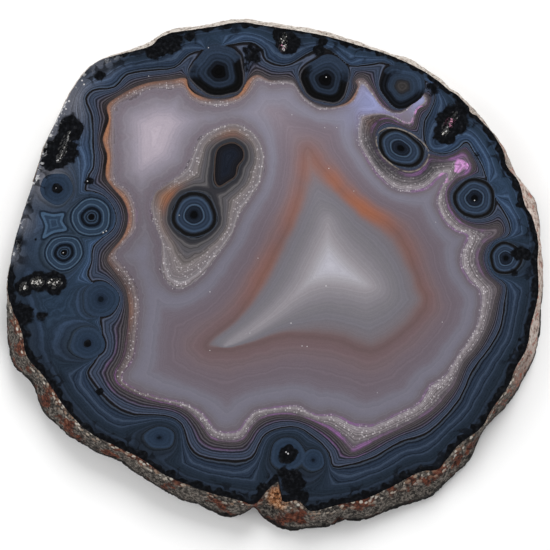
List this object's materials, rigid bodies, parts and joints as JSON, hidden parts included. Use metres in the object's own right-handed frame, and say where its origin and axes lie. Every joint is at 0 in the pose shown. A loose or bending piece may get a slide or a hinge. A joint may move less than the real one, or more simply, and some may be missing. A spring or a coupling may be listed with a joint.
{
  "type": "agate slice",
  "caption": "Polished slice of banded agate in its natural rough skin, flat at the back, for display or use as a stand or coaster",
  "frame": {"origin": "middle of the sawn back, under the centre of the slice's box", "axes": "+Z out of the polished face, +X along the longest side of the slice, +Y towards the side away from the cleft"},
  "size_m": [0.1082, 0.1037, 0.007],
  "materials": {
    "agate_slice": "polished"
  },
  "bodies": {
    "root": {"agate_slice": "agate_slice"}
  },
  "joints": []
}
